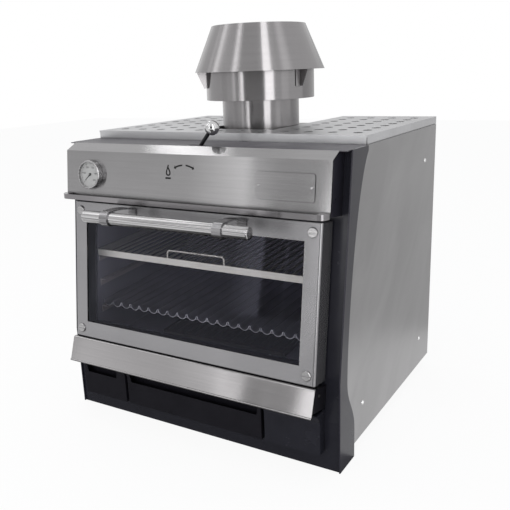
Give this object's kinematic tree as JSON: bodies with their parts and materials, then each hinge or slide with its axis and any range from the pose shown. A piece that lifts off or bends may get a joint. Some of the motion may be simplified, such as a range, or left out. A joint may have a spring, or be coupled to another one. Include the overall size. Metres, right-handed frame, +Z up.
{
  "type": "charcoal oven",
  "caption": "Closed charcoal grill oven with a drop-down glass door, ash drawer, top tray and a short flue with a damper lever and draught hood.",
  "frame": {"origin": "on the floor, under the middle of the box round the closed oven", "axes": "+X to the right seen from the front, +Y to the back, +Z up"},
  "size_m": [0.76, 0.7674, 0.9685],
  "materials": {
    "stainless": "brushed stainless sheet",
    "black_enamel": "heat-proof black, satin gloss",
    "polished": "polished",
    "oiled_rod": "blackened steel rod",
    "chamber_steel": "seasoned heavy plate, dull black",
    "rack_steel": "round steel bar, worn bright",
    "gutter_steel": "stainless gutters",
    "cast_grate": "as cast",
    "wool": "mineral wool board",
    "seal_cord": "woven glass cord",
    "oven_glass": "dark oven glass",
    "lens": "clear",
    "dial_white": "printed white dial",
    "needle_black": "matt black",
    "zinc": "galvanised sheet",
    "foot_black": "matt black"
  },
  "bodies": {
    "oven": {"front_frame": "black_enamel", "cheek_left": "black_enamel", "cheek_right": "black_enamel", "side_panel_left": "stainless", "side_panel_right": "stainless", "rear_panel": "stainless", "roof_panel": "stainless", "base_plate": "zinc", "feet": "foot_black", "top_cap": "black_enamel", "fascia": "stainless", "fascia_box": "black_enamel", "ledge": "stainless", "nameplate": "stainless", "nameplate_rivets": "polished", "thermometer_case": "polished", "thermometer_dial": "dial_white", "thermometer_glass": "lens", "chamber_floor": "chamber_steel", "chamber_left": "chamber_steel", "chamber_right": "chamber_steel", "chamber_back": "chamber_steel", "chamber_roof": "chamber_steel", "ember_grate": "cast_grate", "insulation": "wool", "rack_guides": "chamber_steel", "upper_rack": "rack_steel", "grill": "gutter_steel", "flue_pipe": "stainless", "hood_drum": "stainless", "hood_cone": "stainless", "hood_brackets": "stainless", "top_tray": "stainless", "panel_screws": "polished", "hinge_arms": "chamber_steel", "apron": "stainless", "apron_ears": "black_enamel", "ear_screws": "polished", "cover_panel": "black_enamel", "drawer_rails": "zinc"},
    "door": {"door_frame": "stainless", "door_glass": "oven_glass", "door_back_frame": "black_enamel", "door_seal": "seal_cord", "door_screws": "polished", "hinge_blocks": "chamber_steel", "handle_tube": "polished", "handle_caps": "polished", "handle_brackets": "stainless", "handle_bolts": "polished"},
    "damper": {"damper_shaft": "oiled_rod", "damper_flap": "chamber_steel", "damper_rod": "oiled_rod", "damper_knob": "polished"},
    "needle": {"thermometer_needle": "needle_black"},
    "ash_drawer": {"ash_drawer_front": "black_enamel", "ash_pan": "zinc"},
    "side_drawer": {"side_drawer_front": "black_enamel", "side_box": "zinc"}
  },
  "joints": [
    {"name": "door_hinge", "type": "hinge", "parent": "oven", "child": "door", "pos_m": [0, -0.30813, 0.23191], "axis": [1, 0, 0], "range_deg": [0, 97]},
    {"name": "damper_turn", "type": "hinge", "parent": "oven", "child": "damper", "pos_m": [0, -0.21629, 0.688], "axis": [0, 1, 0], "range_deg": [-80, 0]},
    {"name": "needle_turn", "type": "hinge", "parent": "oven", "child": "needle", "pos_m": [-0.274, -0.28035, 0.63065], "axis": [0, 0.9917, -0.1288], "range_deg": [0, 270]},
    {"name": "ash_drawer_slide", "type": "slide", "parent": "oven", "child": "ash_drawer", "axis": [0, -1, 0], "range_m": [0, 0.27]},
    {"name": "side_drawer_slide", "type": "slide", "parent": "oven", "child": "side_drawer", "axis": [0, -1, 0], "range_m": [0, 0.2]}
  ]
}
